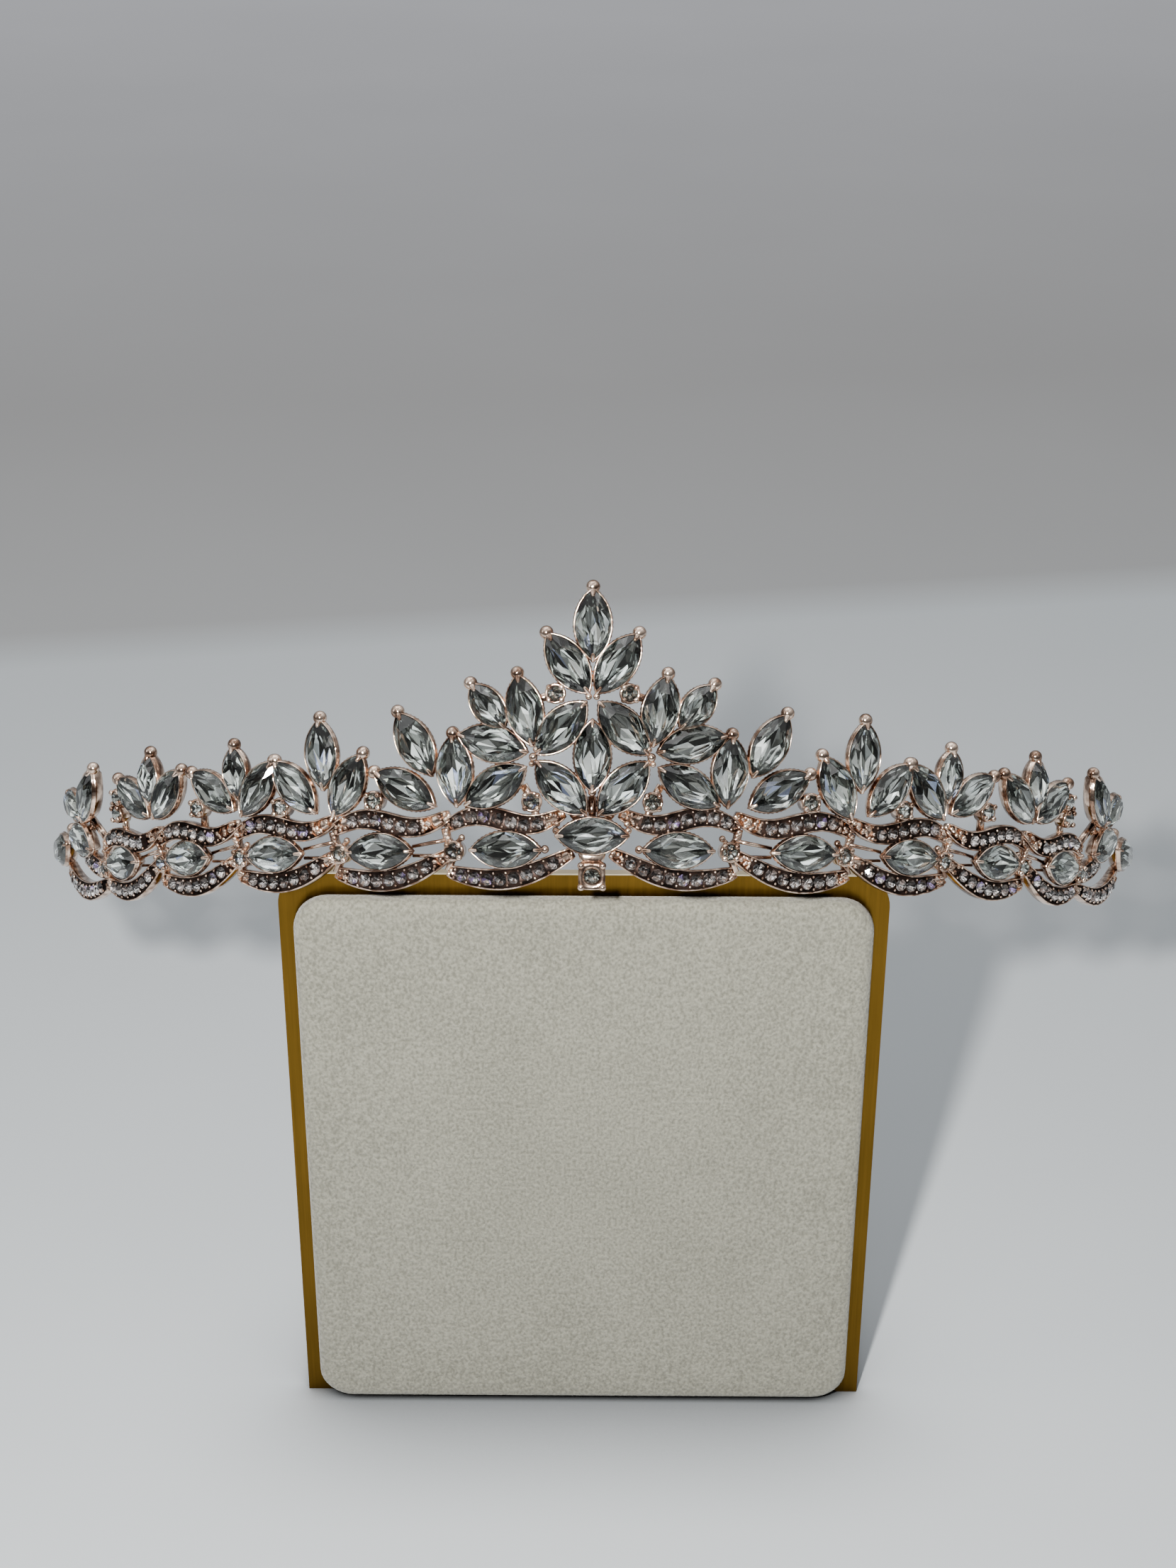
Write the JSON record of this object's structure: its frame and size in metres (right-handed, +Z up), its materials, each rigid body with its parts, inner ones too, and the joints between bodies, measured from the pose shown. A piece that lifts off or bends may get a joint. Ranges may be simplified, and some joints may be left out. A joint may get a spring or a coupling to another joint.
{
  "type": "diadem on a display stand",
  "caption": "Openwork diadem of navette stones in polished rose metal settings above wavy pave ribbons, lying back on a plain upright display stand with a suede pad.",
  "frame": {"origin": "middle of the whole box, on the floor under the stand", "axes": "+X to the wearer's left, +Y to the back of the head, +Z up"},
  "size_m": [0.15, 0.0577, 0.1197],
  "materials": {
    "rose_metal": "polished, rose gold plated",
    "crystal": "clear, cut and foil backed",
    "pave_crystal": "clear, cut and foil backed",
    "stand_metal": "brushed, gold lacquered sheet",
    "suede": "cream suede with a fine nap"
  },
  "bodies": {
    "root": {"diadem_frame": "rose_metal", "stand_plate": "stand_metal", "stand_pad": "suede", "stand_strip": "stand_metal", "crest_stone_1": "crystal", "crest_stone_2": "crystal", "crest_stone_3": "crystal", "crest_stone_4": "crystal", "crest_stone_5": "crystal", "crest_stone_6": "crystal", "crest_stone_7": "crystal", "crest_stone_8": "crystal", "crest_stone_9": "crystal", "crest_stone_10": "crystal", "crest_stone_11": "crystal", "crest_stone_12": "crystal", "crest_stone_13": "crystal", "crest_stone_14": "crystal", "crest_stone_15": "crystal", "crest_stone_16": "crystal", "crest_stone_17": "crystal", "crest_stone_18": "crystal", "crest_stone_19": "crystal", "crest_stone_20": "crystal", "crest_stone_21": "crystal", "crest_stone_22": "crystal", "crest_stone_23": "crystal", "crest_stone_24": "crystal", "crest_stone_25": "crystal", "crest_stone_26": "crystal", "row_stone_1": "crystal", "row_stone_2": "crystal", "row_stone_3": "crystal", "row_stone_4": "crystal", "row_stone_5": "crystal", "row_stone_6": "crystal", "row_stone_7": "crystal", "row_stone_8": "crystal", "row_stone_9": "crystal", "row_stone_10": "crystal", "row_stone_11": "crystal", "row_stone_12": "crystal", "row_stone_13": "crystal", "row_stone_14": "crystal", "row_stone_15": "crystal", "trio_stones_1": "crystal", "trio_stones_2": "crystal", "trio_stones_3": "crystal", "trio_stones_4": "crystal", "trio_stones_5": "crystal", "trio_stones_6": "crystal", "accent_stones_left": "crystal", "accent_stones_right": "crystal", "pave_stones_left": "pave_crystal", "pave_stones_right": "pave_crystal"}
  },
  "joints": []
}
